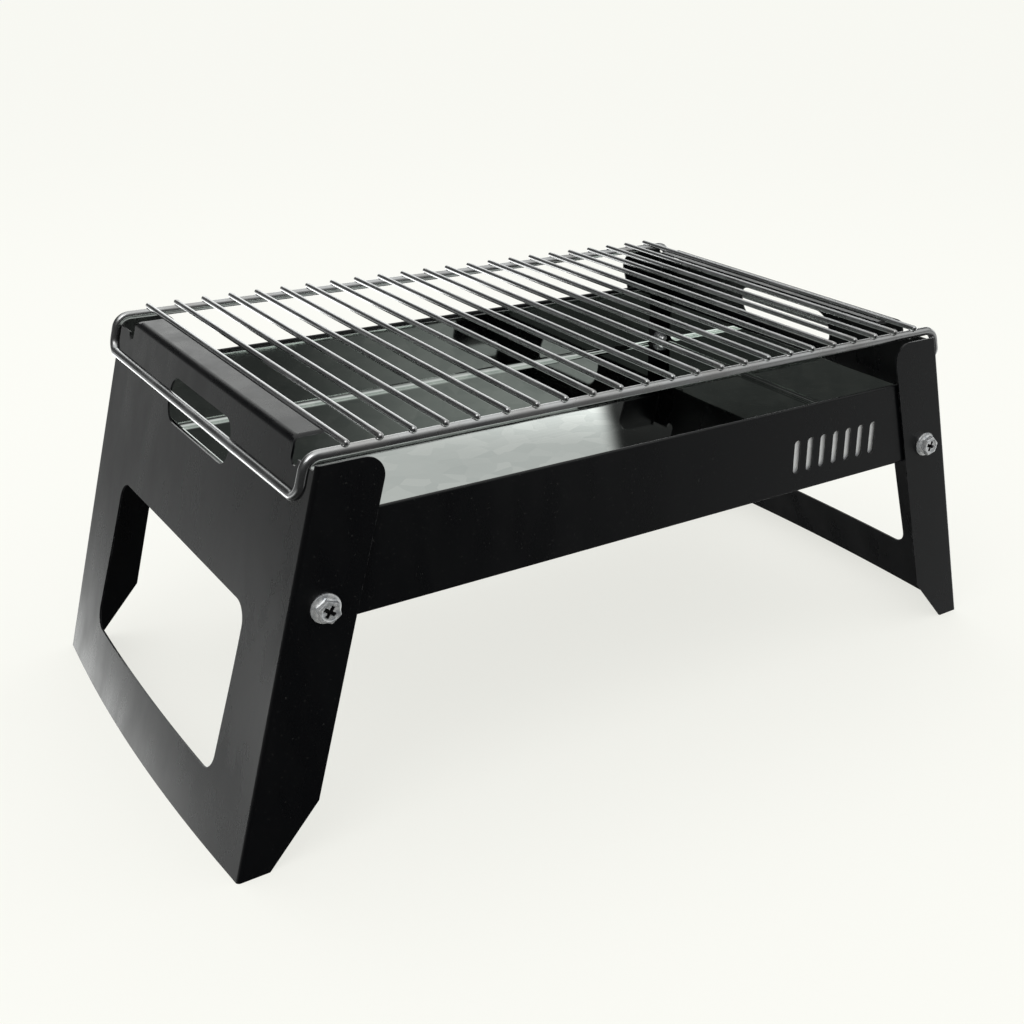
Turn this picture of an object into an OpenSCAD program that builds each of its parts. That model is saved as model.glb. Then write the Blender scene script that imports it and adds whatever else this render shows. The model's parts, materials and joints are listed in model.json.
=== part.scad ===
// Folding camp grill: two splayed sheet-metal legs pivot on a shallow firebox, and a
// wire grate hooks over the leg tops. Origin on the ground at the centre, +X along the
// length, -Y to the front, +Z up. Millimetres.

/* [Grate] */
// Distance between neighbouring cross bars
bar_pitch = 15.5; // [15:0.1:16]
// Number of cross bars
bar_count = 23; // [21:2:23]
// Diameter of a cross bar
bar_d = 3; // [2.5:0.1:3.2]
// Diameter of the wire that forms the frame
frame_d = 4.8; // [4:0.1:5]
// Distance between the two long rails
rail_gap = 250; // [246:0.5:250]
// Height of the cross bars above the ground
grate_height = 194.4; // [194:0.1:195]
// How far each bar reaches past its rail
bar_overhang = 3.2; // [1:0.1:4]
// Bend radius of the frame wire, on its centre line
wire_bend = 8; // [6:0.5:8]

/* [Legs] */
// Outer width across a leg
leg_width = 260.6; // [260:0.1:262]
// Angle of a leg from the vertical
splay = 15.3; // [14.8:0.1:15.6]
// Width of a leg's side flange, from the face to its free edge
flange_width = 31.7; // [30:0.1:33]
// Thickness of the leg and panel sheet
sheet = 1; // [0.8:0.1:1]
// Height of the flange tops above the ground
flange_top = 188; // [187.5:0.1:188.2]
// Width of the lip that is folded in along a leg's top
lip_width = 17; // [12:0.5:18]
// Half the width of the window between the feet
window_half = 88; // [80:1:95]
// Half the width of the hand slot
slot_half = 41.5; // [35:0.5:45]

/* [Pivots] */
// Distance of each pivot from the middle of the grill
pivot_x = 186.4; // [186:0.1:187]
// Height of the pivots
pivot_z = 123.7; // [123:0.1:125]
// Distance from a pivot to the outer surface of the leg's face
face_offset = 16; // [15.8:0.1:17]
// Diameter of the bolt shank
bolt_d = 6; // [5:0.5:6]
// Radial clearance of the bolt in the leg's hole
running_clearance = 0.05; // [0.03:0.01:0.1]

/* [Firebox] */
// Height of the panels' top edges
panel_top = 163.7; // [162:0.1:165]
// Height of the panels' bottom faces
panel_bottom = 114.4; // [114:0.1:115]
// Height of the tray's floor
tray_floor = 121.9; // [121.5:0.1:122.5]
// Thickness of the tray sheet
tray_sheet = 0.8; // [0.6:0.1:1]
// Number of air slots in the front panel
vent_count = 7; // [3:1:7]

/* [Hidden] */
$fn = 64;

// Heights and depths that follow from the driving dimensions
weld_bite = 0.3;
rail_z = grate_height - bar_d / 2 - frame_d / 2 + weld_bite;
rail_y = rail_gap / 2;
lip_top = grate_height - bar_d / 2 - 0.2;
fold_radius = 2;
lip_fold_radius = 4;
face_half = leg_width / 2;
tongue_half = face_half - 25;
tongue_corner = 4;
flange_corner = 9;
foot_taper_x = 35.1;
foot_taper_z = 28.8;

// Across the pivot: leg flange, spacer, panel, then nut
spacer_gap = 1;
panel_y = face_half - sheet - spacer_gap;
side_play = 0.05;
hem_depth = 8;
panel_lip = 16;
panel_end_radius = face_offset - sheet - 1;

// Tray
tray_side = panel_y - 2 * sheet - 0.5;
tray_wall_top = panel_top - 2.3;
tray_half_length = 176;
tray_reach = 186.5;
tray_end_height = 31.4;
tray_bend = 3;

// Cross members
member_x = 112;
member_top_width = 24;
member_foot = 12;
member_half = panel_y - 4;
rivet_d = 3.2;
rivet_head_d = 6.4;

steel_black = [0.05, 0.05, 0.06];
zinc = [0.72, 0.73, 0.75];
bright_wire = [0.62, 0.63, 0.65];
galvanised = [0.66, 0.69, 0.67];

// Runs along -Y from y = +depth/2 to -depth/2 a shape drawn with x and z as its axes
module along_y(depth) {
    rotate([90, 0, 0]) linear_extrude(depth, center = true) children();
}

// Runs along X a shape drawn with y and z as its axes
module along_x(length) {
    rotate([90, 0, 90]) linear_extrude(length, center = true) children();
}

// A rectangle with round corners, centred at the origin
module round_rect(width, height, radius) {
    union() {
        square([width - 2 * radius, height], center = true);
        square([width, height - 2 * radius], center = true);
        for (x = [-1, 1], y = [-1, 1])
            translate([x * (width / 2 - radius), y * (height / 2 - radius)]) circle(radius);
    }
}

// A large corner region, x > 0 and y > 0, whose own corner is rounded
module round_corner(width, height, radius) {
    translate([radius, 0]) square([width - radius, height]);
    translate([0, radius]) square([width, height - radius]);
    translate([radius, radius]) circle(radius);
}

// Bent sheet seen from its end: one leg along x, one along y, and a round outer bend
module angle_section(width, height, radius, thickness) {
    difference() {
        round_corner(width, height, radius);
        translate([thickness, thickness])
            round_corner(width, height, radius - thickness);
    }
}

// ---- Legs. The leg frame has its origin at the pivot: x goes inwards, square to the
// face, y goes across and z goes up the slope.

module to_world() {
    translate([-pivot_x, 0, pivot_z]) rotate([0, splay, 0]) children();
}

function slope_x(local_x, height) =
    -pivot_x + (local_x + (height - pivot_z) * sin(splay)) / cos(splay);

// Channel section of a leg, seen along the slope: a face and two flanges
module channel_section() {
    inner_radius = fold_radius - sheet;
    difference() {
        union() {
            translate([-face_offset + fold_radius, -face_half])
                square([flange_width - fold_radius, leg_width]);
            translate([-face_offset, -face_half + fold_radius])
                square([flange_width, leg_width - 2 * fold_radius]);
            for (y = [-1, 1])
                translate([-face_offset + fold_radius, y * (face_half - fold_radius)])
                    circle(fold_radius);
        }
        translate([-face_offset + fold_radius, -face_half + sheet])
            square([flange_width, leg_width - 2 * sheet]);
        translate([-face_offset + sheet, -face_half + fold_radius])
            square([flange_width, leg_width - 2 * fold_radius]);
        for (y = [-1, 1])
            translate([-face_offset + fold_radius, y * (face_half - fold_radius)])
                circle(inner_radius);
    }
}

// Side view of the flanges: level top with a round inner corner, and a tapered foot
module flange_outline() {
    corner_z = flange_top - flange_corner;
    corner_x = slope_x(flange_width - face_offset - flange_corner, corner_z);
    edge_x = corner_x + flange_corner * cos(splay);
    edge_z = corner_z - flange_corner * sin(splay);
    taper_top_x = slope_x(flange_width - face_offset, foot_taper_z);
    polygon([
        [-pivot_x - 120, 0],
        [-pivot_x - foot_taper_x, 0],
        [taper_top_x, foot_taper_z],
        [edge_x, edge_z],
        [corner_x, corner_z],
        [corner_x, flange_top],
        [-pivot_x - 120, flange_top],
    ]);
    translate([corner_x, corner_z]) circle(flange_corner);
}

// Side view of the region inside the face and under the lip, with its corner rounded
module lip_region(inset) {
    centre_x = slope_x(-face_offset + lip_fold_radius, lip_top - lip_fold_radius);
    centre_z = lip_top - lip_fold_radius;
    radius = lip_fold_radius - inset;
    base_z = centre_z - 30 - inset;
    reach = centre_x + 60 + inset;
    translate([centre_x, centre_z]) circle(radius);
    polygon([
        [centre_x, centre_z + radius],
        [centre_x, centre_z],
        [centre_x - radius * cos(splay), centre_z + radius * sin(splay)],
        [slope_x(-face_offset + inset, base_z), base_z],
        [reach, base_z],
        [reach, centre_z + radius],
    ]);
}

// The middle of the face rises past the flanges and folds in to a lip under the bars
module top_lip() {
    tongue_base = flange_top - 22;
    height = lip_top - tongue_base;
    intersection() {
        along_y(2 * tongue_half) difference() {
            lip_region(0);
            lip_region(sheet);
        }
        // rounded at the top corners, seen along the grill
        rotate([90, 0, 90]) linear_extrude(2 * pivot_x + 100, center = true)
            translate([0, tongue_base + height / 2])
                round_rect(2 * tongue_half, height, tongue_corner);
        // cut to the lip's width, with round free corners
        linear_extrude(2 * grate_height) {
            lip_edge = slope_x(-face_offset, lip_top) + lip_width;
            translate([lip_edge - 60, 0]) round_rect(120, 2 * tongue_half, tongue_corner);
        }
    }
}

module leg() {
    window_top = -17;
    window_bottom = -100;
    slot_top = 55;
    slot_bottom = 32;
    wire_notch = 22.7;
    wire_notch_floor = 59.6;
    relief_width = 7;
    relief_floor = 56;
    cut_height = 40;
    difference() {
        union() {
            intersection() {
                to_world() translate([0, 0, -160]) linear_extrude(260) channel_section();
                along_y(leg_width + 2) flange_outline();
            }
            top_lip();
        }
        // window between the feet
        to_world() translate([-face_offset + sheet / 2, 0, (window_top + window_bottom) / 2])
            rotate([90, 0, 90]) linear_extrude(4, center = true)
                round_rect(2 * window_half, window_top - window_bottom, 10);
        // hand slot
        to_world() translate([-face_offset + sheet / 2, 0, (slot_top + slot_bottom) / 2])
            rotate([90, 0, 90]) linear_extrude(4, center = true)
                round_rect(2 * slot_half, slot_top - slot_bottom, 9.5);
        // beside the lip: a shallow notch that the wire lies in, and a deeper relief cut
        for (side = [-1, 1]) to_world() {
            translate([-face_offset, side * (tongue_half + wire_notch / 2),
                       wire_notch_floor + cut_height / 2])
                rotate([90, 0, 90]) linear_extrude(4, center = true)
                    round_rect(wire_notch, cut_height, 1.5);
            translate([-face_offset, side * (tongue_half + relief_width / 2),
                       relief_floor + cut_height / 2])
                rotate([90, 0, 90]) linear_extrude(4, center = true)
                    round_rect(relief_width, cut_height, 3);
        }
        // pivot holes
        translate([-pivot_x, 0, pivot_z]) rotate([90, 0, 0])
            cylinder(h = leg_width + 2, r = bolt_d / 2 + running_clearance, center = true);
    }
}

module left_leg() {
    color(steel_black) leg();
}

module right_leg() {
    color(steel_black) mirror([1, 0, 0]) leg();
}

// ---- Firebox

// Section of a long panel on the -Y side: hemmed top, web, and a flange turned in below
module panel_section() {
    hem_gap = 0.2;
    hem_radius = sheet + hem_gap / 2;
    bend = 2;
    translate([-panel_y, panel_bottom])
        angle_section(panel_lip, panel_top - hem_radius - panel_bottom, bend, sheet);
    translate([-panel_y + hem_radius, panel_top - hem_radius]) difference() {
        union() {
            circle(hem_radius);
            translate([-hem_radius, -hem_depth]) square([2 * hem_radius, hem_depth]);
        }
        circle(hem_gap / 2);
        translate([-hem_gap / 2, -hem_depth - 1]) square([hem_gap, hem_depth + 1]);
    }
}

// A panel's end outline: round about the pivot, then parallel to the leg
function panel_end() = concat(
    [for (turn = [270 : -4.5 : 180 - splay])
        [-pivot_x + panel_end_radius * cos(turn), pivot_z + panel_end_radius * sin(turn)]],
    [[slope_x(-panel_end_radius, panel_top + 1), panel_top + 1]]
);

function mirrored(points) = [for (i = [len(points) - 1 : -1 : 0]) [-points[i].x, points[i].y]];

// Side view of a panel
module panel_outline() {
    polygon(concat(panel_end(), mirrored(panel_end())));
}

module long_panel() {
    difference() {
        intersection() {
            along_x(2 * pivot_x + 60) panel_section();
            along_y(leg_width) panel_outline();
        }
        for (side = [-1, 1])
            translate([side * pivot_x, -panel_y + sheet / 2, pivot_z]) rotate([90, 0, 0])
                cylinder(h = 4, r = bolt_d / 2 + 0.2, center = true);
        // the bottom flange stops short of the pivots
        for (side = [-1, 1])
            translate([side * (pivot_x + 4), -panel_y + panel_lip / 2 + 2, panel_bottom])
                cube([40, panel_lip, 6], center = true);
        rivet_places(-1) cylinder(h = 8, d = rivet_d + 0.1, center = true);
    }
}

// Air slots near the right end of the front panel
module vents() {
    slot_pitch = 9.5;
    slot_width = 4.4;
    slot_height = 19;
    group_x = 115;
    group_z = 135.2;
    for (i = [0 : vent_count - 1])
        translate([group_x + (i - (vent_count - 1) / 2) * slot_pitch, group_z])
            round_rect(slot_width, slot_height, slot_width / 2 - 0.01);
}

module front_panel() {
    color(steel_black) difference() {
        long_panel();
        translate([0, -panel_y, 0]) along_y(6) vents();
    }
}

module back_panel() {
    color(steel_black) mirror([0, 1, 0]) long_panel();
}

// The four rivets on one long side
module rivet_places(y_side) {
    for (x = [-1, 1], foot = [-1, 1])
        translate([x * member_x + foot * (member_top_width / 2 + member_foot / 2),
                   y_side * (panel_y - 10), panel_bottom + sheet])
            children();
}

// Hat section seen along Y, centred on x = 0
module hat_section() {
    foot_z = panel_bottom + sheet;
    top_z = tray_floor - tray_sheet;
    for (side = [-1, 1]) {
        translate([side > 0 ? member_top_width / 2 - sheet : -member_top_width / 2 - member_foot,
                   foot_z])
            square([member_foot + sheet, sheet]);
        translate([side > 0 ? member_top_width / 2 - sheet : -member_top_width / 2, foot_z])
            square([sheet, top_z - foot_z]);
    }
    translate([-member_top_width / 2, top_z - sheet]) square([member_top_width, sheet]);
}

module cross_member(side) {
    difference() {
        translate([side * member_x, 0, 0]) along_y(2 * member_half) hat_section();
        for (y = [-1, 1]) rivet_places(y) cylinder(h = 8, d = rivet_d + 0.1, center = true);
    }
}

module left_cross_member() {
    color(steel_black) cross_member(-1);
}

module right_cross_member() {
    color(steel_black) cross_member(1);
}

// One rivet through a foot and a panel flange, with a domed head below
module rivet() {
    grip = 2 * sheet;
    dome_radius = 4.2;
    dome_height = 1.4;
    translate([0, 0, -sheet]) cylinder(h = grip, d = rivet_d);
    translate([0, 0, sheet]) cylinder(h = 0.7, d = rivet_d + 1.4);
    intersection() {
        translate([0, 0, -sheet - dome_height + dome_radius]) sphere(dome_radius);
        translate([0, 0, -sheet - dome_height]) cylinder(h = dome_height, d = rivet_head_d);
    }
}

module cross_member_rivets() {
    color(zinc) for (y = [-1, 1]) rivet_places(y) rivet();
}

// U section of the tray, with round bends
module tray_section() {
    under = tray_floor - tray_sheet;
    for (side = [0, 1]) mirror([side, 0]) translate([-tray_side, under])
        angle_section(tray_side + 1, tray_wall_top - under, tray_bend + tray_sheet, tray_sheet);
}

// The floor reaches past the side walls and turns up in a lower wall at each end
module tray_end() {
    under = tray_floor - tray_sheet;
    width = 2 * (tray_side - 8);
    reach = tray_reach - tray_half_length + 10;
    translate([tray_reach, 0, under]) mirror([1, 0, 0]) along_y(width)
        angle_section(reach, tray_end_height, tray_bend + tray_sheet, tray_sheet);
}

module charcoal_tray() {
    color(galvanised) {
        along_x(2 * tray_half_length) tray_section();
        for (side = [0, 1]) mirror([side, 0, 0]) tray_end();
    }
}

// ---- Grate

// Part of a turn of wire about Z, starting on the +X side
module wire_arc(radius, angle) {
    rotate_extrude(angle = angle) translate([radius, 0]) circle(d = frame_d, $fn = 40);
}

module wire_rod(length, diameter) {
    cylinder(h = length, d = diameter, $fn = 40);
}

// The frame wire at the left end: over the leg's top, down its face and across
module frame_end() {
    gap_to_face = 0.6;
    corner_radius = 7;
    // straight length down the slope from the upper bend to the lower corner
    straight = 5.3;
    offset = face_offset + gap_to_face + frame_d / 2;
    bend_z = rail_z - wire_bend;
    bend_x = slope_x(-offset + wire_bend, bend_z);
    bend_local = (bend_z - pivot_z) * cos(splay) + (bend_x + pivot_x) * sin(splay);
    bar_local = bend_local - straight - corner_radius;
    for (side = [0, 1]) mirror([0, side, 0]) {
        // bend over the leg's top
        translate([bend_x, -rail_y, bend_z]) rotate([90, 0, 0]) rotate(90)
            wire_arc(wire_bend, 90 - splay);
        // down the face
        to_world() translate([-offset, -rail_y, bar_local + corner_radius])
            wire_rod(straight, frame_d);
        // round to the handle bar
        to_world() translate([-offset, -rail_y + corner_radius, bar_local + corner_radius])
            rotate([90, 0, 90]) rotate(180) wire_arc(corner_radius, 90);
    }
    // handle bar
    to_world() translate([-offset, rail_y - corner_radius, bar_local]) rotate([90, 0, 0])
        wire_rod(2 * (rail_y - corner_radius), frame_d);
    // half of each rail
    for (side = [-1, 1]) translate([bend_x, side * rail_y, rail_z]) rotate([0, 90, 0])
        wire_rod(-bend_x, frame_d);
}

module grate_frame() {
    color(bright_wire) for (side = [0, 1]) mirror([side, 0, 0]) frame_end();
}

// One cross bar with round ends
module cross_bar() {
    half = rail_y + bar_overhang - bar_d / 2;
    translate([0, half, 0]) rotate([90, 0, 0]) wire_rod(2 * half, bar_d);
    for (side = [-1, 1]) translate([0, side * half, 0]) sphere(d = bar_d, $fn = 40);
}

module grate_bars() {
    color(bright_wire)
        for (i = [0 : bar_count - 1])
            translate([(i - (bar_count - 1) / 2) * bar_pitch, 0, grate_height]) cross_bar();
}

// ---- Pivot hardware, drawn along +Z with z = 0 on the outside of the leg's flange

module at_pivot(x_side, y_side) {
    mirror([0, y_side > 0 ? 1 : 0, 0])
        translate([x_side * pivot_x, -face_half, pivot_z]) rotate([90, 0, 0]) children();
}

// Hexagon head with a round flange and a cross recess
module bolt() {
    flange_d = 14;
    flange_h = 1.3;
    head_h = 5.6;
    across_corners = 11.2;
    recess_length = 6.2;
    recess_width = 1.5;
    recess_depth = 2.2;
    nut_end = sheet + spacer_gap + sheet + 5 + 2.5;
    difference() {
        union() {
            translate([0, 0, side_play]) cylinder(h = flange_h, d = flange_d);
            translate([0, 0, flange_h / 2]) rotate(12)
                cylinder(h = head_h - flange_h / 2, d = across_corners, $fn = 6);
        }
        translate([0, 0, head_h - 0.8]) difference() {
            cylinder(h = 2, d = across_corners + 4);
            translate([0, 0, -0.01]) cylinder(h = 2.02, d1 = across_corners + 0.4, d2 = 5.4);
        }
        for (turn = [35, 125]) rotate(turn)
            translate([-recess_length / 2, -recess_width / 2, head_h - recess_depth])
                cube([recess_length, recess_width, recess_depth + 1]);
        translate([0, 0, head_h - recess_depth]) cylinder(h = recess_depth + 1, d = 2.6);
    }
    translate([0, 0, -nut_end]) cylinder(h = nut_end + 1, d = bolt_d);
}

module nut() {
    nut_h = 5;
    across_corners = 11.5;
    translate([0, 0, -2 * sheet - spacer_gap - side_play - nut_h]) difference() {
        rotate(20) cylinder(h = nut_h, d = across_corners, $fn = 6);
        translate([0, 0, -1]) cylinder(h = nut_h + 2, r = bolt_d / 2 + 0.03);
    }
}

module spacer() {
    translate([0, 0, -sheet - spacer_gap + side_play]) difference() {
        cylinder(h = spacer_gap - 2 * side_play, d = 13);
        translate([0, 0, -1]) cylinder(h = spacer_gap + 2, r = bolt_d / 2 + 0.2);
    }
}

module pivot_bolt_front_left() {
    color(zinc) at_pivot(-1, -1) bolt();
}

module pivot_bolt_front_right() {
    color(zinc) at_pivot(1, -1) bolt();
}

module pivot_bolt_back_left() {
    color(zinc) at_pivot(-1, 1) bolt();
}

module pivot_bolt_back_right() {
    color(zinc) at_pivot(1, 1) bolt();
}

module pivot_nut_front_left() {
    color(zinc) at_pivot(-1, -1) nut();
}

module pivot_nut_front_right() {
    color(zinc) at_pivot(1, -1) nut();
}

module pivot_nut_back_left() {
    color(zinc) at_pivot(-1, 1) nut();
}

module pivot_nut_back_right() {
    color(zinc) at_pivot(1, 1) nut();
}

module pivot_spacer_front_left() {
    color(zinc) at_pivot(-1, -1) spacer();
}

module pivot_spacer_front_right() {
    color(zinc) at_pivot(1, -1) spacer();
}

module pivot_spacer_back_left() {
    color(zinc) at_pivot(-1, 1) spacer();
}

module pivot_spacer_back_right() {
    color(zinc) at_pivot(1, 1) spacer();
}

front_panel();
back_panel();
left_cross_member();
right_cross_member();
cross_member_rivets();
charcoal_tray();
left_leg();
right_leg();
grate_frame();
grate_bars();
pivot_bolt_front_left();
pivot_bolt_front_right();
pivot_bolt_back_left();
pivot_bolt_back_right();
pivot_nut_front_left();
pivot_nut_front_right();
pivot_nut_back_left();
pivot_nut_back_right();
pivot_spacer_front_left();
pivot_spacer_front_right();
pivot_spacer_back_left();
pivot_spacer_back_right();
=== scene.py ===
"""Folding camp grill: procedural materials, finished meshes and a studio around the CAD frame."""
import json
import math
import random

import bmesh
import bpy
from mathutils import Matrix, Vector


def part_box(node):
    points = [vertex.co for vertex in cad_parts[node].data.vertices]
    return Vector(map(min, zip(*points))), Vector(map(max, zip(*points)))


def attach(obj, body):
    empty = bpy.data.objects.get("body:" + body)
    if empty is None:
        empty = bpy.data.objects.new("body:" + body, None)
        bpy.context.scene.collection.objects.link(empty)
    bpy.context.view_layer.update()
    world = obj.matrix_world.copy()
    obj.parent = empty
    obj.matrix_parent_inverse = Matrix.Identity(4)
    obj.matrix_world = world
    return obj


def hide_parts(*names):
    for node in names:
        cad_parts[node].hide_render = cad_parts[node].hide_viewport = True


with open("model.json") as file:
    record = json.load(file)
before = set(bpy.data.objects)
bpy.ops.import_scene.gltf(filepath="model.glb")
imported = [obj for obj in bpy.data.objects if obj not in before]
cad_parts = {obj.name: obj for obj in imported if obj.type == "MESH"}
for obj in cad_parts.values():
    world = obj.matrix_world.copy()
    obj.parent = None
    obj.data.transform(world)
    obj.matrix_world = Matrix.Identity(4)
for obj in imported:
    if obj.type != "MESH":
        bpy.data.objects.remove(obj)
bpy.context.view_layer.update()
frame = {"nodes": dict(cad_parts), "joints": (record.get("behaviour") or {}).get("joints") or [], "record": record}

MM = 0.001
TAU = 2 * math.pi

# ---------------------------------------------------------------- driving dimensions
SPLAY = math.radians(15.3)      # lean of a leg, as in the CAD
FRAME_WIRE = 4.8 * MM           # diameter of the grate's frame wire
BAR_WIRE = 3.0 * MM             # diameter of a cross bar
BAR_COUNT = 23
TOP_BEND = 8 * MM               # bend radii of the frame wire, on its centre line
CORNER_BEND = 7 * MM
LEG_BOW = 5.0 * MM              # how far a crossbar's middle stands out
FACE_OFFSET = 16 * MM           # from a pivot to the outside of the leg's face
BOW_FADE = 2 * MM               # depth behind a leg's face that bows, and fades out below
BOW_MARGIN = 3 * MM             # straight stretch at each side of the bowed crossbar
BOWED_SHARE = 0.58              # share of the leg's height that bows
SLICED_SHARE = 0.62             # share of it that is cut into levels, to bend smoothly
EDGE_ROUND = 0.16 * MM          # rounding of the cut sheet edges
TRAY_EDGE_ROUND = 0.12 * MM
BOLT_SEAT = 0.05 * MM           # play under the bolt's flange
MEMBER_FOOT = 12 * MM           # depth of the end strips' feet

# hardware, in millimetres: its profiles are written in them and scaled at the end
BOLT_SHANK_R = 3.0
BOLT_LENGTH = 10.5
THREAD_PITCH = 1.0
THREAD_DEPTH = 0.52
FLANGE_R = 7.0
FLANGE_H = 1.25
HEAD_H = 5.55
HEAD_APOTHEM = 4.85
DISH_DEPTH = 0.45
RECESS_DEPTH = 2.1
RECESS_REACH = 3.3              # radius around the whole cross
NUT_H = 5.0
NUT_APOTHEM = 4.95
NUT_BORE_R = 3.04
WASHER_R = 6.5
WASHER_BORE_R = 3.2
RIVET_HEAD_R = 3.2
RIVET_HEAD_H = 1.4
RIVET_SHANK_R = 1.6
RIVET_GRIP = 2.0

joints = {joint["name"]: joint for joint in frame["joints"]}
PIVOT_X = joints["right_leg_fold"]["pos_m"][0]
PIVOT_Z = joints["right_leg_fold"]["pos_m"][2]


# ---------------------------------------------------------------- node graph helper
class Graph:
    """A short way to write a shader node tree."""

    def __init__(self, tree):
        self.tree = tree
        tree.nodes.clear()

    def node(self, kind, settings=None, **inputs):
        made = self.tree.nodes.new(kind)
        for key, value in (settings or {}).items():
            setattr(made, key, value)
        for key, value in inputs.items():
            self.set(made, key, value)
        return made

    def set(self, made, key, value):
        name = key.replace("_", " ")
        socket = next(s for s in made.inputs if s.name.lower() == name.lower() and s.enabled)
        if hasattr(value, "links"):
            self.tree.links.new(value, socket)
        elif socket.type == "RGBA" and len(value) == 3:
            socket.default_value = (*value, 1)
        else:
            socket.default_value = value

    def math(self, operation, a, b=0.0):
        made = self.tree.nodes.new("ShaderNodeMath")
        made.operation = operation
        for socket, value in zip(made.inputs, (a, b)):
            if hasattr(value, "links"):
                self.tree.links.new(value, socket)
            else:
                socket.default_value = value
        return made.outputs[0]

    def times(self, a, b):
        return self.math("MULTIPLY", a, b)

    def plus(self, a, b):
        return self.math("ADD", a, b)

    def minus(self, a, b):
        return self.math("SUBTRACT", a, b)

    def blend(self, share, a, b):
        """a where the share is 1 and b where it is 0."""
        return self.plus(self.times(a, share), self.times(b, self.minus(1, share)))

    def ramp(self, value, low, high, to_low=0.0, to_high=1.0):
        made = self.node("ShaderNodeMapRange", {"interpolation_type": "SMOOTHSTEP"},
                         Value=value, From_Min=low, From_Max=high, To_Min=to_low, To_Max=to_high)
        return made.outputs[0]

    def mix(self, factor, a, b, blend="MIX"):
        made = self.tree.nodes.new("ShaderNodeMix")
        made.data_type = "RGBA"
        made.blend_type = blend
        for socket, value in ((made.inputs[0], factor), (made.inputs[6], a), (made.inputs[7], b)):
            if hasattr(value, "links"):
                self.tree.links.new(value, socket)
            elif socket.type == "RGBA":
                socket.default_value = (*value, 1)
            else:
                socket.default_value = value
        return made.outputs[2]

    def noise(self, vector, scale, detail=2.0, roughness=0.5):
        made = self.node("ShaderNodeTexNoise", None, Vector=vector, Scale=scale,
                         Detail=detail, Roughness=roughness)
        return made.outputs["Fac"]

    def stretched(self, vector, scale):
        made = self.node("ShaderNodeMapping", None, Vector=vector, Scale=scale)
        return made.outputs[0]

    def bump(self, height, strength, distance, normal=None):
        made = self.node("ShaderNodeBump", None, Height=height, Strength=strength,
                         Distance=distance)
        if normal is not None:
            self.tree.links.new(normal, made.inputs["Normal"])
        return made.outputs[0]


def new_material(name):
    material = bpy.data.materials.new(name)
    material.use_nodes = True
    graph = Graph(material.node_tree)
    shader = graph.node("ShaderNodeBsdfPrincipled")
    output = graph.node("ShaderNodeOutputMaterial")
    graph.tree.links.new(shader.outputs[0], output.inputs["Surface"])
    return material, graph, shader


def edge_wear_and_highlight_mask(graph, radius):
    """1 on outer edges, 0 on flats: marks both rubbed wear and a painted edge highlight."""
    rounded = graph.node("ShaderNodeBevel", {"samples": 4}, Radius=radius)
    true = graph.node("ShaderNodeNewGeometry")
    facing = graph.node("ShaderNodeVectorMath", {"operation": "DOT_PRODUCT"})
    graph.tree.links.new(rounded.outputs[0], facing.inputs[0])
    graph.tree.links.new(true.outputs["Normal"], facing.inputs[1])
    return graph.ramp(facing.outputs["Value"], 0.995, 0.93)


# ---------------------------------------------------------------- materials
def black_paint():
    """Satin black heat paint: orange peel, handling haze, dust specks, and rubbed edges lightened both as wear and
    as a painted edge highlight.
    """
    material, graph, shader = new_material("black_paint_detail")
    place = graph.node("ShaderNodeTexCoord").outputs["Object"]
    cloud = graph.noise(place, 9, 4)
    haze = graph.noise(graph.stretched(place, (1, 1, 0.35)), 38, 5, 0.62)
    specks = graph.ramp(graph.noise(place, 900, 1), 0.71, 0.76)
    patchy = graph.ramp(graph.noise(place, 260, 3), 0.42, 0.62)
    # rubbed edges, lightened both as wear and as a painted edge highlight
    edge_wear_and_highlight = graph.times(edge_wear_and_highlight_mask(graph, 0.35 * MM), patchy)
    colour = graph.mix(cloud, (0.0010, 0.0011, 0.0015), (0.0018, 0.0020, 0.0025))
    colour = graph.mix(graph.times(specks, 0.10), colour, (0.12, 0.12, 0.11))
    colour = graph.mix(graph.times(edge_wear_and_highlight, 0.35), colour, (0.11, 0.11, 0.115))
    rough = graph.ramp(haze, 0.3, 0.75, 0.24, 0.36)
    rough = graph.plus(rough, graph.times(edge_wear_and_highlight, 0.12))
    peel = graph.bump(graph.noise(place, 700, 2, 0.4), 0.10, 0.10 * MM)
    waves = graph.bump(graph.noise(place, 22, 2), 0.05, 1.2 * MM, peel)
    graph.set(shader, "Base Color", colour)
    graph.set(shader, "Roughness", rough)
    graph.set(shader, "Specular IOR Level", 0.5)
    graph.set(shader, "Normal", waves)
    return material


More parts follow.
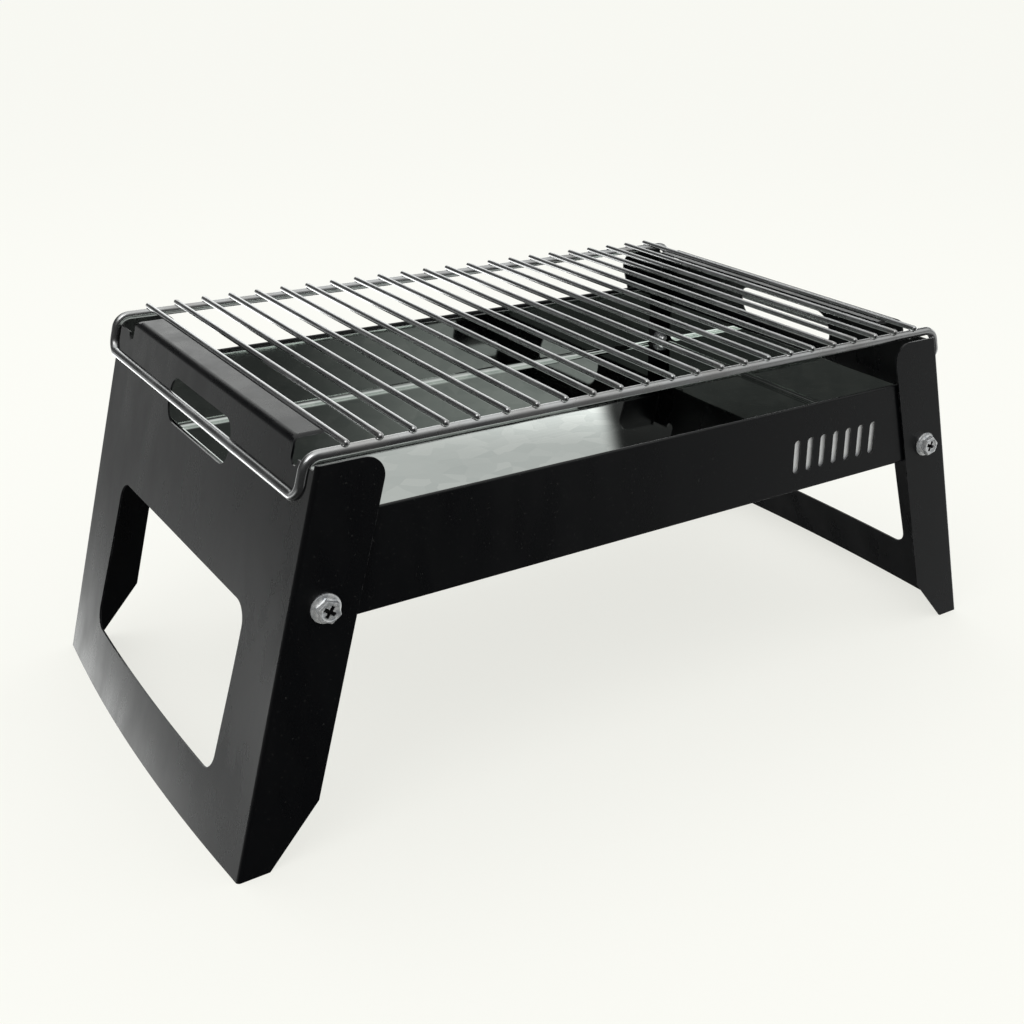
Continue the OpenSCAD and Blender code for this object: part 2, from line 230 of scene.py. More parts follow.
def galvanised():
    """Bright zinc-coated tray sheet: soft spangle, rolling lines and slight unevenness.
    The walls' outer faces are dull and painted pale, a painted light for the shaded walls that show through the
    vent slots."""
    material, graph, shader = new_material("galvanised_detail")
    place = graph.node("ShaderNodeTexCoord").outputs["Object"]
    warp = graph.node("ShaderNodeTexNoise", None, Vector=place, Scale=60.0, Detail=2.0)
    moved = graph.node("ShaderNodeVectorMath", {"operation": "MULTIPLY_ADD"})
    graph.tree.links.new(warp.outputs["Color"], moved.inputs[0])
    moved.inputs[1].default_value = (0.006, 0.006, 0.006)
    graph.tree.links.new(place, moved.inputs[2])
    spangle = graph.node("ShaderNodeTexVoronoi", None, Vector=moved.outputs[0], Scale=85.0)
    cell = graph.node("ShaderNodeSeparateColor")
    graph.tree.links.new(spangle.outputs["Color"], cell.inputs[0])
    lines = graph.noise(graph.stretched(place, (4, 420, 4)), 3, 3)
    cloud = graph.noise(place, 14, 4)
    colour = graph.mix(cell.outputs[0], (0.60, 0.640, 0.615), (0.70, 0.735, 0.705))
    colour = graph.mix(graph.ramp(cloud, 0.45, 0.75, 0, 0.35), colour, (0.50, 0.54, 0.52))
    rough = graph.plus(graph.times(cell.outputs[1], 0.015), 0.010)
    rough = graph.plus(rough, graph.ramp(cloud, 0.35, 0.7, 0.0, 0.025))
    fine = graph.bump(lines, 0.06, 0.05 * MM)
    sag = graph.bump(graph.noise(place, 11, 1), 0.10, 2.0 * MM, fine)
    wall_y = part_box("charcoal_tray")[1].y
    across = graph.node("ShaderNodeSeparateXYZ", None, Vector=place).outputs[1]
    outside = graph.ramp(graph.math("ABSOLUTE", across), wall_y - 0.4 * MM, wall_y - 0.2 * MM)
    # painted light: the outer faces are made pale so that they read bright in the shade behind the vent slots
    painted_pale_outside = graph.mix(cell.outputs[0], (0.80, 0.81, 0.80), (0.90, 0.91, 0.90))
    colour = graph.mix(outside, colour, painted_pale_outside)
    rough = graph.plus(rough, graph.times(outside, 0.40))
    graph.set(shader, "Metallic", graph.ramp(outside, 0, 1, 1.0, 0.1))
    graph.set(shader, "Base Color", colour)
    graph.set(shader, "Roughness", rough)
    graph.set(shader, "Normal", sag)
    return material


def bright_wire():
    """Plated wire: draw lines along it, small pits, and browned spots by the welds."""
    material, graph, shader = new_material("bright_wire_detail")
    coords = graph.node("ShaderNodeTexCoord")
    place, along = coords.outputs["Object"], coords.outputs["UV"]
    lines = graph.noise(graph.stretched(along, (60, 22, 1)), 4, 3)
    cloud = graph.noise(place, 45, 4)
    pits = graph.ramp(graph.noise(place, 1300, 2), 0.66, 0.74)
    across = graph.node("ShaderNodeSeparateXYZ", None, Vector=place).outputs[1]
    rail_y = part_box("grate_frame")[1].y - FRAME_WIRE / 2
    from_rail = graph.math("ABSOLUTE", graph.minus(graph.math("ABSOLUTE", across), rail_y))
    tint = graph.times(graph.ramp(from_rail, 7 * MM, 1 * MM), graph.ramp(cloud, 0.35, 0.7))
    colour = graph.mix(cloud, (0.62, 0.625, 0.63), (0.78, 0.785, 0.79))
    colour = graph.mix(graph.times(tint, 0.35), colour, (0.27, 0.235, 0.20))
    colour = graph.mix(graph.times(pits, 0.5), colour, (0.20, 0.19, 0.18))
    rough = graph.ramp(cloud, 0.3, 0.75, 0.20, 0.34)
    normal = graph.bump(lines, 0.16, 0.06 * MM)
    graph.set(shader, "Metallic", 1.0)
    graph.set(shader, "Base Color", colour)
    graph.set(shader, "Roughness", rough)
    graph.set(shader, "Normal", normal)
    return material


def painted_recess_shade(graph, place):
    """1 inside the cross recess of a pivot screw, by distance from the pivot and depth; marks the painted shade
    there.
    """
    x, y, z = graph.node("ShaderNodeSeparateXYZ", None, Vector=place).outputs
    off_x = graph.minus(graph.math("ABSOLUTE", x), PIVOT_X)
    off_z = graph.minus(z, PIVOT_Z)
    radius = graph.math("SQRT", graph.plus(graph.times(off_x, off_x), graph.times(off_z, off_z)))
    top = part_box("left_leg")[1].y + BOLT_SEAT + HEAD_H * MM
    outward = graph.math("ABSOLUTE", y)
    below = graph.times(graph.ramp(outward, top - 0.6 * MM, top - 1.0 * MM),
                        graph.ramp(outward, top - 3.4 * MM, top - 3.0 * MM))
    inside = graph.ramp(radius, (RECESS_REACH + 0.2) * MM, RECESS_REACH * MM)
    return graph.times(below, inside)


def zinc():
    """Clear zinc plating on the fasteners: bluish, with a fine grain, dull patches, edges lightened
    both as wear and as a painted highlight, and painted shade in the screws' recesses."""
    material, graph, shader = new_material("zinc_detail")
    place = graph.node("ShaderNodeTexCoord").outputs["Object"]
    cloud = graph.noise(place, 420, 4)
    grain = graph.noise(place, 1100, 3)
    # edges lightened both as wear and as a painted edge highlight
    edge_wear_and_highlight = edge_wear_and_highlight_mask(graph, 0.2 * MM)
    colour = graph.mix(graph.ramp(cloud, 0.35, 0.65), (0.62, 0.64, 0.66), (0.98, 0.985, 0.98))
    colour = graph.mix(graph.times(edge_wear_and_highlight, 0.5), colour, (0.96, 0.96, 0.95))
    # painted shade: the cross recesses darkened almost to black
    colour = graph.mix(painted_recess_shade(graph, place), colour, (0.03, 0.03, 0.03))
    rough = graph.ramp(cloud, 0.3, 0.7, 0.10, 0.22)
    graph.set(shader, "Metallic", 0.75)
    graph.set(shader, "Base Color", colour)
    graph.set(shader, "Roughness", rough)
    graph.set(shader, "Normal", graph.bump(grain, 0.25, 0.10 * MM))
    return material


MATERIALS = {
    "black_paint": black_paint(),
    "galvanised": galvanised(),
    "bright_wire": bright_wire(),
    "zinc": zinc(),
}
SLOT_OF = {part["node"]: part["material_slot"] for part in frame["record"]["subparts"]}
BODY_OF = {node: body for body, nodes in frame["record"]["behaviour"]["bodies"].items()
           for node in nodes}


# ---------------------------------------------------------------- mesh helpers
def place_piece(mesh, name, node, smooth_angle=32):
    """Makes a finished piece that stands for a CAD node and rides on that node's body."""
    mesh.polygons.foreach_set("use_smooth", [True] * len(mesh.polygons))
    mesh.set_sharp_from_angle(angle=math.radians(smooth_angle))
    slot = SLOT_OF[node]
    mesh.materials.clear()
    mesh.materials.append(MATERIALS[slot])
    piece = bpy.data.objects.new(name, mesh)
    # the wires' mirror images would be too plain in the smooth sheets
    piece.visible_glossy = slot != "bright_wire"
    bpy.context.scene.collection.objects.link(piece)
    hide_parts(node)
    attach(piece, BODY_OF[node])
    return piece


def keep_flats_flat(piece):
    """Lets the large flat faces set the shading, so that only the rounded edges curve."""
    weighting = piece.modifiers.new("weighted normals", "WEIGHTED_NORMAL")
    weighting.keep_sharp = True
    weighting.weight = 80


def mesh_from(bm, name):
    bmesh.ops.recalc_face_normals(bm, faces=bm.faces)
    mesh = bpy.data.meshes.new(name)
    bm.to_mesh(mesh)
    bm.free()
    return mesh


def sheet_copy(node):
    """A welded, clean copy of a CAD node's mesh."""
    bm = bmesh.new()
    bm.from_mesh(frame["nodes"][node].data)
    bmesh.ops.remove_doubles(bm, verts=bm.verts, dist=2e-6)
    bmesh.ops.dissolve_limit(bm, angle_limit=math.radians(0.4), verts=bm.verts, edges=bm.edges)
    return bm


def soften_edges(bm, width, segments=2, least_angle=50):
    """Rounds the sheet's cut edges so that they catch the light."""
    edges = [edge for edge in bm.edges
             if edge.is_manifold and edge.calc_face_angle(0) > math.radians(least_angle)]
    bmesh.ops.bevel(bm, geom=edges, offset=width, segments=segments, profile=0.5,
                    affect="EDGES", clamp_overlap=True)


def sheet_piece(node, edge=EDGE_ROUND):
    """A sheet part of the CAD with softened edges."""
    name = node + "_sheet"
    bm = sheet_copy(node)
    soften_edges(bm, edge)
    keep_flats_flat(place_piece(mesh_from(bm, name), name, node, 60))


# ---------------------------------------------------------------- wire
def fillet_path(corners, radii, step=math.radians(7)):
    """A closed path through the corners with each one rounded to its radius."""
    path = []
    count = len(corners)
    for index, corner in enumerate(corners):
        before = (corners[index - 1] - corner).normalized()
        after = (corners[(index + 1) % count] - corner).normalized()
        half_turn = (math.pi - before.angle(after)) / 2
        reach = radii[index] * math.tan(half_turn)
        centre = corner + (before + after).normalized() * (radii[index] / math.cos(half_turn))
        start, end = corner + before * reach, corner + after * reach
        steps = max(4, math.ceil(2 * half_turn / step))
        a, b = start - centre, end - centre
        turn = 2 * half_turn
        for k in range(steps + 1):
            t = k / steps
            path.append(centre + (a * math.sin((1 - t) * turn) + b * math.sin(t * turn))
                        / math.sin(turn))
    return path


def subdivide_long(path, longest):
    """Adds points to long straight stretches of a closed path."""
    dense = []
    for index, point in enumerate(path):
        following = path[(index + 1) % len(path)]
        pieces = max(1, math.ceil((following - point).length / longest))
        dense += [point.lerp(following, k / pieces) for k in range(pieces)]
    return dense


def sweep_closed(path, radius, sides, swell):
    """A closed tube along a path, with a UV map: u along in metres, v around. The radius is
    multiplied by swell(point)."""
    bm = bmesh.new()
    uv = bm.loops.layers.uv.new("UVMap")
    count = len(path)
    tangents = [(path[(i + 1) % count] - path[i - 1]).normalized() for i in range(count)]
    normal = tangents[0].orthogonal().normalized()
    normals = [normal]
    for i in range(1, count):
        turn = tangents[i - 1].rotation_difference(tangents[i])
        normals.append((turn @ normals[-1]).normalized())
    closing = tangents[-1].rotation_difference(tangents[0]) @ normals[-1]
    twist = math.atan2(tangents[0].dot(normals[0].cross(closing)), normals[0].dot(closing))
    rings = []
    for i, point in enumerate(path):
        spin = Matrix.Rotation(-twist * i / count, 3, tangents[i])
        n = spin @ normals[i]
        b = tangents[i].cross(n)
        r = radius * swell(point)
        rings.append([bm.verts.new(point + n * (r * math.cos(TAU * k / sides))
                                   + b * (r * math.sin(TAU * k / sides)))
                      for k in range(sides)])
    length = 0.0
    for i in range(count):
        step = (path[(i + 1) % count] - path[i]).length
        for k in range(sides):
            j = (k + 1) % sides
            face = bm.faces.new((rings[i][k], rings[i][j],
                                 rings[(i + 1) % count][j], rings[(i + 1) % count][k]))
            corners = ((length, k), (length, k + 1), (length + step, k + 1), (length + step, k))
            for loop, (u, v) in zip(face.loops, corners):
                loop[uv].uv = (u, v / sides)
        length += step
    return bm


def add_ring_solid(bm, rings):
    """Skins neighbouring rings of equal size. The two ends stay open."""
    for lower, upper in zip(rings, rings[1:]):
        sides = len(lower)
        for k in range(sides):
            bm.faces.new((lower[k], lower[(k + 1) % sides], upper[(k + 1) % sides], upper[k]))


def frame_wire():
    """The grate's one continuous frame wire, with the butt weld in its left handle bar."""
    low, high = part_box("grate_frame")
    r = FRAME_WIRE / 2
    rail_y, rail_z = high.y - r, high.z - r
    bar_x, bar_z = high.x - r, low.z + r
    top_x = bar_x - (rail_z - bar_z) * math.tan(SPLAY)
    corners, radii = [], []
    for side, first, second in ((-1, 1, -1), (1, -1, 1)):
        corners += [Vector((side * top_x, first * rail_y, rail_z)),
                    Vector((side * bar_x, first * rail_y, bar_z)),
                    Vector((side * bar_x, second * rail_y, bar_z)),
                    Vector((side * top_x, second * rail_y, rail_z))]
        radii += [TOP_BEND, CORNER_BEND, CORNER_BEND, TOP_BEND]
    path = subdivide_long(fillet_path(corners, radii), 5 * MM)
    weld = Vector((-bar_x, -rail_y * 0.45, bar_z))
    weld_swell, weld_reach = 0.07, 2.2 * MM

    def swell(point):
        distance = (point - weld).length
        return 1 + weld_swell * math.exp(-(distance / weld_reach) ** 2)

    bm = sweep_closed(path, r, 28, swell)
    place_piece(mesh_from(bm, "grate_frame_wire"), "grate_frame_wire", "grate_frame")


def cross_bars():
    """The cross bars, each a rod with rounded ends that is a little out of true."""
    low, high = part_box("grate_bars")
    r = BAR_WIRE / 2
    pitch = (high.x - low.x - BAR_WIRE) / (BAR_COUNT - 1)
    half, z = high.y - r, high.z - r
    sides, cap_steps, along = 20, 5, 40
    stations = [(-half - r * math.cos(math.pi / 2 * k / cap_steps),
                 r * math.sin(math.pi / 2 * k / cap_steps)) for k in range(1, cap_steps + 1)]
    stations += [(-half + 2 * half * k / along, r) for k in range(1, along)]
    stations += [(-y, radius) for y, radius in reversed(stations[:cap_steps])]
    random.seed(11)
    for index in range(BAR_COUNT):
        x = low.x + r + index * pitch
        sag_x, sag_z = random.uniform(-0.25, 0.25) * MM, random.uniform(-0.12, 0.05) * MM
        bm = bmesh.new()
        uv = bm.loops.layers.uv.new("UVMap")
        rings = []
        for y, radius in stations:
            bend = math.cos(math.pi / 2 * min(1, abs(y) / half)) ** 0.8
            rings.append([bm.verts.new((x + sag_x * bend + radius * math.cos(TAU * k / sides), y,
                                        z + sag_z * bend + radius * math.sin(TAU * k / sides)))
                          for k in range(sides)])
        add_ring_solid(bm, rings)
        for ring, y in ((rings[0], -half - r), (rings[-1], half + r)):
            tip = bm.verts.new((x, y, z))
            for k in range(sides):
                bm.faces.new((ring[k], ring[(k + 1) % sides], tip))
        for face in bm.faces:
            for loop in face.loops:
                co = loop.vert.co
                around = math.atan2(co.z - z, co.x - x) / TAU
                loop[uv].uv = (co.y, around)
        name = f"cross_bar_{index + 1:02d}"
        place_piece(mesh_from(bm, name), name, "grate_bars", 60)


def weld_beads():
    """A small flattened bead of metal at each crossing of a bar and a rail."""
    low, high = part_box("grate_bars")
    pitch = (high.x - low.x - BAR_WIRE) / (BAR_COUNT - 1)
    rail_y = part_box("grate_frame")[1].y - FRAME_WIRE / 2
    seam_z = high.z - BAR_WIRE
    bead_x, bead_y, bead_z = 1.75 * MM, 2.0 * MM, 1.0 * MM
    bm = bmesh.new()
    for index in range(BAR_COUNT):
        for side in (-1, 1):
            centre = Vector((low.x + BAR_WIRE / 2 + index * pitch, side * rail_y, seam_z))
            made = bmesh.ops.create_icosphere(bm, subdivisions=3, radius=1)
            for vert in made["verts"]:
                lump = 1 + 0.10 * math.sin(3 * vert.co.x + index) * math.cos(4 * vert.co.y + side)
                vert.co = centre + Vector((vert.co.x * bead_x * lump, vert.co.y * bead_y * lump,
                                           vert.co.z * bead_z))
    place_piece(mesh_from(bm, "grate_welds"), "grate_welds", "grate_bars", 60)


# ---------------------------------------------------------------- legs
def slice_mesh(bm, place, direction):
    """Cuts a row of edges into the mesh where a plane crosses it."""
    bmesh.ops.bisect_plane(bm, geom=bm.verts[:] + bm.edges[:] + bm.faces[:],
                           plane_co=place, plane_no=direction, dist=1e-7)


def bow_leg(bm, side, half, bottom, bow_top):
    """Moves the face's vertices outwards, most at the middle of the lower crossbar."""
    for vert in bm.verts:
        face_x = PIVOT_X + FACE_OFFSET / math.cos(SPLAY) + (PIVOT_Z - vert.co.z) * math.tan(SPLAY)
        depth = face_x - abs(vert.co.x)
        on_face = max(0.0, 1 - max(0.0, depth - BOW_FADE) / BOW_FADE)
        across = max(0.0, 1 - (vert.co.y / (half - BOW_MARGIN)) ** 2)
        down = min(1.0, max(0.0, (bow_top - vert.co.z) / (bow_top - bottom)))
        eased = down * down * (3 - 2 * down)
        vert.co.x += side * LEG_BOW * across * eased * on_face


def leg_piece(node, side):
    """A leg of bent sheet whose lower crossbar bows outwards a little."""
    bm = sheet_copy(node)
    low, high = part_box(node)
    rise = high.z - low.z
    rows, levels = 26, 16
    for k in range(1, rows):
        slice_mesh(bm, (0, -high.y + 2 * high.y * k / rows, 0), (0, 1, 0))
    for k in range(1, levels):
        slice_mesh(bm, (0, 0, low.z + rise * SLICED_SHARE * k / levels), (0, 0, 1))
    soften_edges(bm, EDGE_ROUND)
    bow_leg(bm, side, high.y, low.z, low.z + rise * BOWED_SHARE)
    name = node + "_sheet"
    keep_flats_flat(place_piece(mesh_from(bm, name), name, node, 60))


# ---------------------------------------------------------------- turned hardware
def hexagon(angle, apothem):
    """Radius of a hexagon at an angle from one of its corners."""
    return apothem / math.cos((angle % (TAU / 6)) - TAU / 12)


def plain_radius(station, angle):
    return station[1]


def turned(bm, stations, sides, radius_of=plain_radius):
    """Rings along +Z; radius_of(station, angle) gives each point's radius."""
    angles = [TAU * k / sides for k in range(sides)]
    rings = []
    for station in stations:
        radii = [radius_of(station, angle) for angle in angles]
        rings.append([bm.verts.new((radius * math.cos(angle), radius * math.sin(angle), station[0]))
                      for radius, angle in zip(radii, angles)])
    add_ring_solid(bm, rings)
    return rings


def cross_outline(length, width):
    """Corner points of a cross recess, counter-clockwise."""
    a, b = length / 2, width / 2
    points = []
    for quarter in range(4):
        turn = Matrix.Rotation(quarter * math.pi / 2, 2)
        points += [turn @ Vector((a, -b)), turn @ Vector((a, b)), turn @ Vector((b, b))]
    return points


def bolt_head(bm, sides):
    """A round flange, a hexagon with a narrow chamfer and a dished top. Returns the first
    and the last ring."""
    corner = HEAD_APOTHEM / math.cos(TAU / 12)

    def six_sided(station, angle):
        return hexagon(angle, station[1])

    flange = turned(bm, [
        (0.0, BOLT_SHANK_R), (0.0, FLANGE_R - 0.35), (0.12, FLANGE_R - 0.1), (0.40, FLANGE_R),
        (0.85, FLANGE_R), (1.12, FLANGE_R - 0.12), (FLANGE_H, FLANGE_R - 0.4),
        (FLANGE_H + 0.22, corner + 0.35)], sides)
    hexes = turned(bm, [
        (FLANGE_H + 0.32, HEAD_APOTHEM), (FLANGE_H + 0.6, HEAD_APOTHEM),
        (HEAD_H - 0.55, HEAD_APOTHEM), (HEAD_H - 0.15, HEAD_APOTHEM - 0.16),
        (HEAD_H, HEAD_APOTHEM - 0.5)], sides, six_sided)
    add_ring_solid(bm, [flange[-1], hexes[0]])
    dish = turned(bm, [
        (HEAD_H - 0.05, HEAD_APOTHEM - 0.75), (HEAD_H - 0.30, HEAD_APOTHEM - 1.0),
        (HEAD_H - DISH_DEPTH, HEAD_APOTHEM - 1.25)], sides)
    add_ring_solid(bm, [hexes[-1], dish[0]])
    return flange[0], dish[-1]


def cross_recess(bm, rim, recess_turn):
    """Fills the dish inside its rim and sinks a tapered cross into it."""
    turn = Matrix.Rotation(recess_turn, 2)
    floor_z = HEAD_H - DISH_DEPTH
    upper = [turn @ point for point in cross_outline(6.2, 1.9)]
    lower = [turn @ point for point in cross_outline(4.4, 1.2)]
    top = [bm.verts.new((p.x, p.y, floor_z)) for p in upper]
    deep = [bm.verts.new((p.x, p.y, floor_z - RECESS_DEPTH)) for p in lower]
    loops = []
    for ring in (rim, top):
        for k, vert in enumerate(ring):
            other = ring[(k + 1) % len(ring)]
            loops.append(bm.edges.get((vert, other)) or bm.edges.new((vert, other)))
    bmesh.ops.triangle_fill(bm, edges=loops, use_beauty=True, use_dissolve=False)
    cover = [face for face in bm.faces if all(vert in top for vert in face.verts)]
    bmesh.ops.delete(bm, geom=cover, context="FACES_ONLY")
    add_ring_solid(bm, [top, deep])
    bm.faces.new(deep)


def bolt_thread(bm, seat_ring, sides):
    """A shank whose thread fades in below the seat, closed by a chamfered tip."""
    rows_per_pitch = 6
    plain_length, fade_length = 1.6, 1.0

    def threaded(station, angle):
        z, fade = station
        phase = (z / THREAD_PITCH - angle / TAU) % 1
        return BOLT_SHANK_R - THREAD_DEPTH * fade * abs(2 * phase - 1)

    stations = []
    for k in range(1, int(BOLT_LENGTH * rows_per_pitch) + 1):
        z = -k / rows_per_pitch
        fade = min(1.0, max(0.0, (-z - plain_length) / fade_length))
        stations.append((z, fade))
    threads = turned(bm, stations, sides, threaded)
    add_ring_solid(bm, [seat_ring, threads[0]])
    end = turned(bm, [(-BOLT_LENGTH - 0.25, BOLT_SHANK_R - 0.65)], sides)
    add_ring_solid(bm, [threads[-1], end[0]])
    bm.faces.new(end[0])


def bolt_mesh(recess_turn):
    """Hex screw with a round flange. z = 0 is the flange's seat, and the head is on +Z."""
    bm = bmesh.new()
    sides = 72
    seat_ring, rim = bolt_head(bm, sides)
    cross_recess(bm, rim, recess_turn)
    bolt_thread(bm, seat_ring, sides)
    return bm


def nut_mesh():
    """Hexagon nut, chamfered on both faces, with a round bore. z = 0 is its seat."""
    bm = bmesh.new()
    sides = 72
    corner = NUT_APOTHEM / math.cos(TAU / 12)

    def chamfered(station, angle):
        return min(hexagon(angle, NUT_APOTHEM), station[1])

    outer = turned(bm, [
        (0.0, NUT_APOTHEM - 0.25), (0.12, NUT_APOTHEM + 0.05), (0.45, corner - 0.2),
        (0.75, corner + 0.02), (NUT_H - 0.75, corner + 0.02), (NUT_H - 0.45, corner - 0.2),
        (NUT_H - 0.12, NUT_APOTHEM + 0.05), (NUT_H, NUT_APOTHEM - 0.25)], sides, chamfered)
    inner = turned(bm, [
        (NUT_H, NUT_BORE_R + 0.45), (NUT_H - 0.4, NUT_BORE_R), (0.4, NUT_BORE_R),
        (0.0, NUT_BORE_R + 0.45)], sides)
    add_ring_solid(bm, [outer[-1], inner[0]])
    add_ring_solid(bm, [inner[-1], outer[0]])
    return bm


def washer_mesh(outer, inner, thickness):
    """Flat ring with one rolled edge. z = 0 is its lower face."""
    bm = bmesh.new()
    rings = turned(bm, [
        (0.0, inner), (0.0, outer - 0.15), (0.15, outer), (thickness - 0.3, outer),
        (thickness, outer - 0.35), (thickness, inner + 0.1), (thickness - 0.1, inner)], 64)
    add_ring_solid(bm, [rings[-1], rings[0]])
    return bm


def rivet_mesh():
    """Rivet with a domed head below z = 0 and a set end above the grip."""
    bm = bmesh.new()
    steps = 7
    dome = []
    for k in range(1, steps + 1):
        angle = math.pi / 2 * k / steps
        dome.append((-RIVET_HEAD_H * math.cos(angle), RIVET_HEAD_R * math.sin(angle)))
    shank = [(0.0, RIVET_SHANK_R), (RIVET_GRIP, RIVET_SHANK_R)]
    set_end = [(RIVET_GRIP, RIVET_SHANK_R + 0.75), (RIVET_GRIP + 0.35, RIVET_SHANK_R + 0.7),
               (RIVET_GRIP + 0.62, RIVET_SHANK_R + 0.1)]
    rings = turned(bm, dome + shank + set_end, 40)
    bm.faces.new(rings[0])
    bm.faces.new(rings[-1])
    return bm


def stand_hardware(bm, name, node, origin, outward, spin=0.0, smooth=32):
    """Scales a part from millimetres and turns its +Z to the outward direction."""
    turn = Vector((0, 0, 1)).rotation_difference(outward).to_matrix().to_4x4()
    bm.transform(Matrix.Translation(origin) @ turn @ Matrix.Rotation(spin, 4, "Z")
                 @ Matrix.Scale(MM, 4))
    place_piece(mesh_from(bm, name), name, node, smooth)


def pivot_hardware():
    """A screw, a nut and a spacer washer at each corner, each turned a little differently."""
    turns = {"front_left": (0.62, 0.30), "front_right": (0.25, 0.95),
             "back_left": (1.10, 0.55), "back_right": (0.80, 0.10)}
    nut_turn = 0.4
    leg_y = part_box("left_leg")[1].y
    for corner, (spin, recess) in turns.items():
        outward = Vector((0, -1 if corner.startswith("front") else 1, 0))
        low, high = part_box("pivot_bolt_" + corner)
        axis = Vector(((low.x + high.x) / 2, 0, (low.z + high.z) / 2))
        stand_hardware(bolt_mesh(recess), "pivot_screw_" + corner, "pivot_bolt_" + corner,
                       axis + outward * (leg_y + BOLT_SEAT), outward, spin)
        low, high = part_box("pivot_nut_" + corner)
        nut_y = max(abs(low.y), abs(high.y))
        stand_hardware(nut_mesh(), "hex_nut_" + corner, "pivot_nut_" + corner,
                       axis + outward * nut_y, -outward, spin + nut_turn)
        low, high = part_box("pivot_spacer_" + corner)
        spacer_y = max(abs(low.y), abs(high.y))
        washer = washer_mesh(WASHER_R, WASHER_BORE_R, (high.y - low.y) / MM)
        stand_hardware(washer, "spacer_washer_" + corner, "pivot_spacer_" + corner,
                       axis + outward * spacer_y, -outward)


def rivets():
    """One rivet at each place that the CAD's rivet group holds."""
    low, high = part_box("cross_member_rivets")
    y = high.y - RIVET_HEAD_R * MM
    seat_z = low.z + RIVET_HEAD_H * MM
    inner, outer = (corner.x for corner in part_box("right_cross_member"))
    foot_rows = (inner + MEMBER_FOOT / 2, outer - MEMBER_FOOT / 2)
    places = [(side * x, row * y) for side in (-1, 1) for x in foot_rows for row in (-1, 1)]
    for index, (x, row_y) in enumerate(places):
        stand_hardware(rivet_mesh(), f"rivet_{index + 1}", "cross_member_rivets",
                       Vector((x, row_y, seat_z)), Vector((0, 0, 1)), 0.0, 60)


# ---------------------------------------------------------------- build the object
sheet_piece("front_panel")
sheet_piece("back_panel")
sheet_piece("charcoal_tray", TRAY_EDGE_ROUND)
sheet_piece("left_cross_member")
sheet_piece("right_cross_member")
leg_piece("left_leg", -1)
leg_piece("right_leg", 1)
frame_wire()
cross_bars()
weld_beads()
pivot_hardware()
rivets()


# ---------------------------------------------------------------- studio
PALE = (0.945, 0.945, 0.890)    # the backdrop, seen directly
FLOOR_GLOW = 0.75               # share of the floor's brightness that shadows leave alone
FLOOR_REACH = 40.0
AMBIENT = (0.97, 0.98, 1.0)     # what matt surfaces are lit by
ROOM_TINT = (0.985, 1.0, 0.985)
CEILING = 0.8
CAMERA_AZIMUTH = math.radians(-37.72)
CAMERA_ELEVATION = math.radians(23.58)
CAMERA_ROLL = math.radians(2.01)
CAMERA_DISTANCE = 0.4901
CAMERA_TARGET = Vector((-0.10585, -0.25283, 0.1944))
SENSOR = 36                     # a square picture takes its angle from the sensor's height
VIEW_SENSOR = 27
                                # stand back, and leaves room for the lens shift
FOCAL_SHARE = 1.28804           # focal length over sensor height
LENS_SHIFT = -0.13890


def studio_floor():
    mesh = bpy.data.meshes.new("floor")
    signs = ((-1, -1), (1, -1), (1, 1), (-1, 1))
    corners = [(x * FLOOR_REACH, y * FLOOR_REACH, 0) for x, y in signs]
    mesh.from_pydata(corners, [], [(0, 1, 2, 3)])
    floor = bpy.data.objects.new("floor", mesh)
    bpy.context.scene.collection.objects.link(floor)
    material, graph, shader = new_material("pale_floor")
    graph.set(shader, "Base Color", [channel * (1 - FLOOR_GLOW) for channel in PALE])
    graph.set(shader, "Roughness", 0.9)
    graph.set(shader, "Specular IOR Level", 0.0)
    graph.set(shader, "Emission Color", PALE)
    graph.set(shader, "Emission Strength", FLOOR_GLOW)
    mesh.materials.append(material)
    floor.visible_glossy = False


def room_walls(graph, x, z, behind):
    """Above the horizon: a bright wall behind, between a dark corner on the left and the
    dim right side, a dimmer wall in front, and a bright ceiling."""
    corner = graph.ramp(x, -0.10, 0.20, 0.035, 1.0)
    dim_right = graph.times(graph.ramp(x, 0.535, 0.555), graph.ramp(z, 0.25, 0.31))
    window = graph.times(corner, graph.ramp(dim_right, 0, 1, 1.0, 0.03))
    wall_behind = graph.times(graph.ramp(z, 0.31, 0.36, 1.5, 0.62), window)
    wall_front = graph.times(graph.ramp(z, 0.0, 0.7, 0.14, 0.60),
                             graph.ramp(x, 0.33, 0.50, 0.15, 1.0))
    walls = graph.blend(behind, wall_behind, wall_front)
    return graph.blend(graph.ramp(z, 0.6, 0.95), CEILING, walls)


def room_ground(graph, x, z, behind):
    """Below the horizon: the pale table behind, dark close to the grill and in front."""
    far_table = graph.times(graph.ramp(z, -0.26, -0.40, 0.50, 2.95),
                            graph.ramp(z, -0.42, -0.60, 1.0, 0.02))
    ground_behind = graph.times(far_table, graph.ramp(x, -0.53, -0.35, 0.22, 1.0))
    ground_front = graph.ramp(x, 0.42, 0.78, 0.02, 0.36)
    return graph.blend(behind, ground_behind, ground_front)


def reflected_room(graph, direction):
    """What shiny surfaces see, by the direction of the reflected ray."""
    parts = graph.node("ShaderNodeSeparateXYZ", None, Vector=direction)
    x, y, z = parts.outputs
    behind = graph.ramp(y, -0.45, 0.45)
    above = graph.ramp(z, -0.06, 0.04)
    level = graph.blend(above, room_walls(graph, x, z, behind), room_ground(graph, x, z, behind))
    grey = graph.node("ShaderNodeCombineColor", None, Red=level, Green=level, Blue=level)
    return graph.mix(1.0, grey.outputs[0], ROOM_TINT, "MULTIPLY")


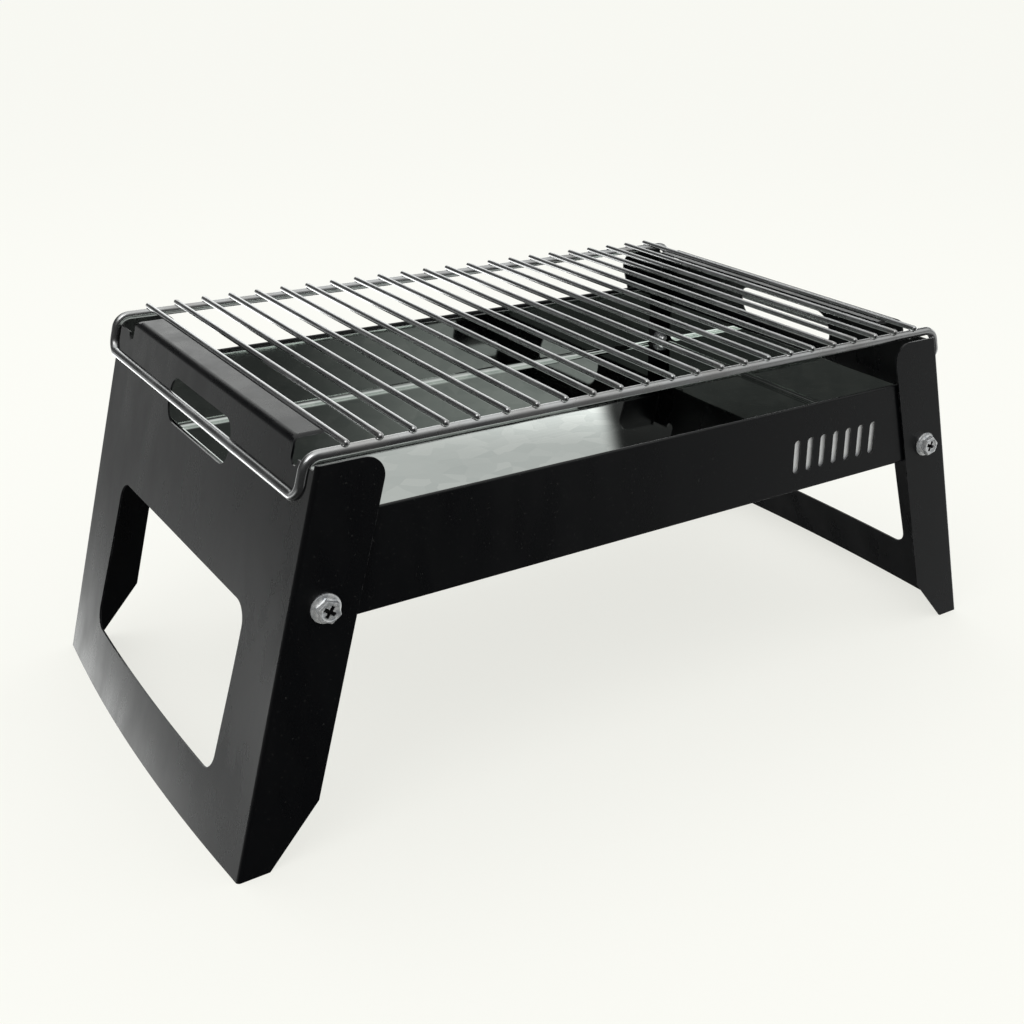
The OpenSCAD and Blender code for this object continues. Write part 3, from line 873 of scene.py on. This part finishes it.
def studio_world():
    """Plain pale surroundings, with a room of its own for reflections."""
    world = bpy.data.worlds.new("studio")
    bpy.context.scene.world = world
    world.use_nodes = True
    graph = Graph(world.node_tree)
    direction = graph.node("ShaderNodeTexCoord").outputs["Generated"]
    rays = graph.node("ShaderNodeLightPath")
    room = reflected_room(graph, direction)
    seen = graph.mix(rays.outputs["Is Glossy Ray"], AMBIENT, room)
    seen = graph.mix(rays.outputs["Is Camera Ray"], seen, PALE)
    background = graph.node("ShaderNodeBackground", None, Color=seen, Strength=1.0)
    output = graph.node("ShaderNodeOutputWorld")
    graph.tree.links.new(background.outputs[0], output.inputs["Surface"])


def soft_light(name, location, target, size, power, in_reflections):
    light = bpy.data.lights.new(name, "AREA")
    light.shape = "RECTANGLE"
    light.size, light.size_y = size
    light.energy = power
    lamp = bpy.data.objects.new(name, light)
    bpy.context.scene.collection.objects.link(lamp)
    lamp.visible_glossy = in_reflections
    lamp.location = location
    lamp.rotation_mode = "QUATERNION"
    lamp.rotation_quaternion = (Vector(target) - Vector(location)).to_track_quat("-Z", "Y")


def camera():
    """In front, to the left and a little above, close to the grill, with a shifted lens."""
    back = Vector((math.sin(CAMERA_AZIMUTH) * math.cos(CAMERA_ELEVATION),
                   -math.cos(CAMERA_AZIMUTH) * math.cos(CAMERA_ELEVATION),
                   math.sin(CAMERA_ELEVATION)))
    data = bpy.data.cameras.new("camera")
    data.sensor_fit = "VERTICAL"
    data.sensor_height = SENSOR
    data.sensor_width = VIEW_SENSOR
    data.lens = FOCAL_SHARE * SENSOR
    data.shift_x = LENS_SHIFT
    data.clip_start = 0.01
    data.clip_end = 50
    made = bpy.data.objects.new("camera", data)
    bpy.context.scene.collection.objects.link(made)
    made.location = CAMERA_TARGET + back * CAMERA_DISTANCE
    made.rotation_mode = "QUATERNION"
    level = (-back).to_track_quat("-Z", "Y")
    made.rotation_quaternion = level @ Matrix.Rotation(CAMERA_ROLL, 3, "Z").to_quaternion()
    bpy.context.scene.camera = made


studio_floor()
studio_world()
soft_light("key", location=(-0.9, -0.6, 1.5), target=(0, 0, 0.15), size=(0.9, 0.9), power=4,
           in_reflections=True)
soft_light("top", location=(0.3, 0.6, 1.4), target=(0, 0, 0.15), size=(1.4, 0.7), power=3,
           in_reflections=False)
camera()
bpy.context.scene.view_settings.view_transform = "Standard"
